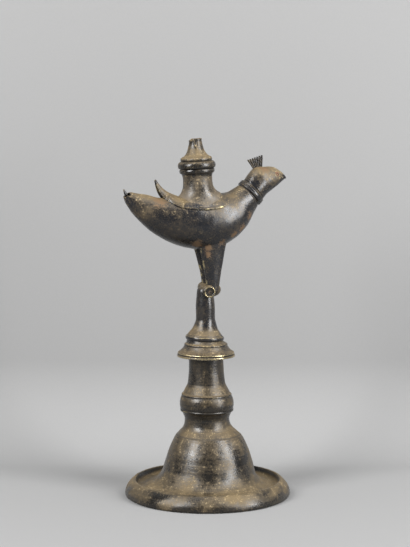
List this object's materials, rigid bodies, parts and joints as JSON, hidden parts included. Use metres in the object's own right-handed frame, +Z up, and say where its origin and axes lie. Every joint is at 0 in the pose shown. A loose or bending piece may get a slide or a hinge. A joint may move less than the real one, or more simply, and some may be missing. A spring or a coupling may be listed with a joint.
{
  "type": "bird-shaped ritual oil lamp",
  "caption": "Cast brass oil lamp: a bird-shaped reservoir with a lidded filler neck and a wick mouth in the tail, on a pedestal with a drip saucer.",
  "frame": {"origin": "on the ground, under the middle of the whole lamp from tail to beak", "axes": "+Z up, +X towards the beak, +Y to the bird's left"},
  "size_m": [0.134, 0.131, 0.2822],
  "materials": {
    "pedestal": "cast brass with a dark brown-black patina, tan dust in the saucer and worn bright edges",
    "bird_reservoir": "cast brass with a dark brown-black patina, rusty patches and worn yellow rims",
    "filler_lid": "cast brass with a dark patina under tan dust"
  },
  "bodies": {
    "root": {"pedestal": "pedestal", "bird_reservoir": "bird_reservoir", "filler_lid": "filler_lid"}
  },
  "joints": []
}
